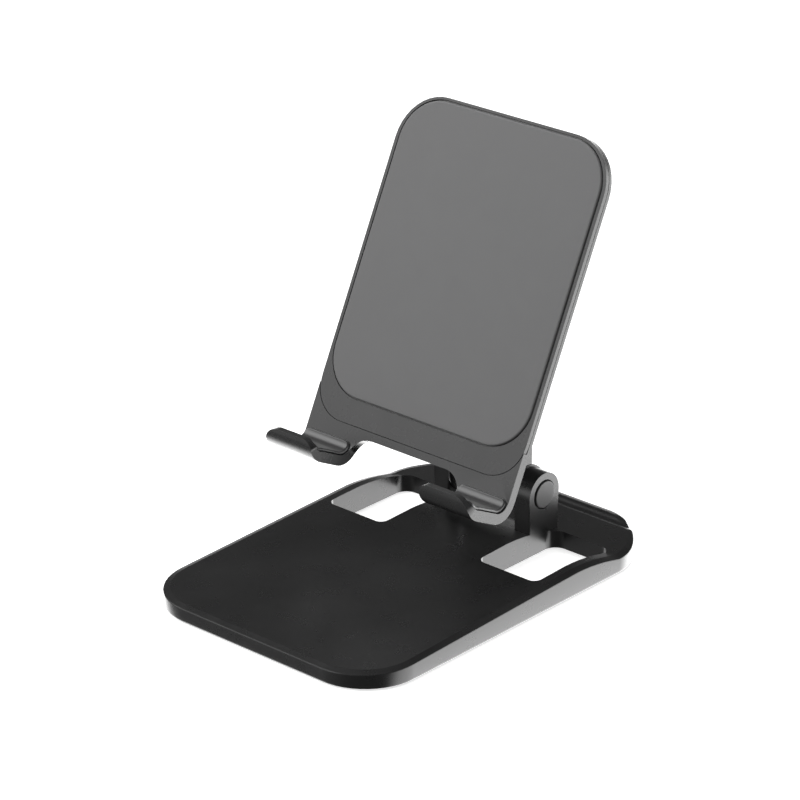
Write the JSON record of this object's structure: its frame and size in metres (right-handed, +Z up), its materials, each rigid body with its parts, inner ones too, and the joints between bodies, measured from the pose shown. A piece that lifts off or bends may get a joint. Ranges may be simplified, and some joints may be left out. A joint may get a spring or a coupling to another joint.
{
  "type": "phone stand",
  "caption": "Folding desk phone stand: a weighted base with hook windows, a hinged arm and a tilting back plate with two padded hooks.",
  "frame": {"origin": "centre of the base's footprint, on the table", "axes": "+Z up, +Y towards the rear edge of the base, +X to the right of someone facing the phone"},
  "size_m": [0.08, 0.1168, 0.1149],
  "materials": {
    "black_plastic": "satin black moulded plastic",
    "grey_plastic": "satin dark grey moulded plastic",
    "pad_silicone": "soft matte grey silicone",
    "lining_silicone": "smooth dark silicone with a soft gloss",
    "mat_rubber": "matte black rubber",
    "steel": "bright turned steel",
    "weight_steel": "plain zinc plated steel",
    "washer_nylon": "dark nylon"
  },
  "bodies": {
    "base": {"base_shell": "black_plastic", "base_weight": "weight_steel", "base_mat": "mat_rubber", "lower_bolt": "steel", "lower_nut": "steel", "lower_washer_left": "washer_nylon", "lower_washer_right": "washer_nylon", "lower_bush_left": "steel", "lower_bush_right": "steel", "lower_disc_spring": "steel", "lower_cap_left": "black_plastic", "lower_cap_right": "black_plastic"},
    "arm": {"arm_shell": "black_plastic", "arm_cover": "black_plastic", "arm_stiffener": "weight_steel", "arm_screw_lower": "steel", "arm_screw_upper": "steel"},
    "plate": {"cradle": "grey_plastic", "front_plate": "grey_plastic", "face_pad": "pad_silicone", "hook_pad_left": "lining_silicone", "hook_pad_right": "lining_silicone", "tilt_bracket": "black_plastic", "bracket_screw_1": "steel", "bracket_screw_2": "steel", "bracket_screw_3": "steel", "bracket_screw_4": "steel", "upper_bolt": "steel", "upper_nut": "steel", "upper_washer_left": "washer_nylon", "upper_washer_right": "washer_nylon", "upper_disc_spring": "steel", "upper_cap_left": "grey_plastic", "upper_cap_right": "grey_plastic"}
  },
  "joints": [
    {"name": "arm_fold", "type": "hinge", "parent": "base", "child": "arm", "pos_m": [0, 0.0345, 0.0164], "axis": [1, 0, 0], "range_deg": [-15, 25]},
    {"name": "plate_tilt", "type": "hinge", "parent": "arm", "child": "plate", "pos_m": [0, 0.0345, 0.084], "axis": [1, 0, 0], "range_deg": [-65, 26]}
  ]
}
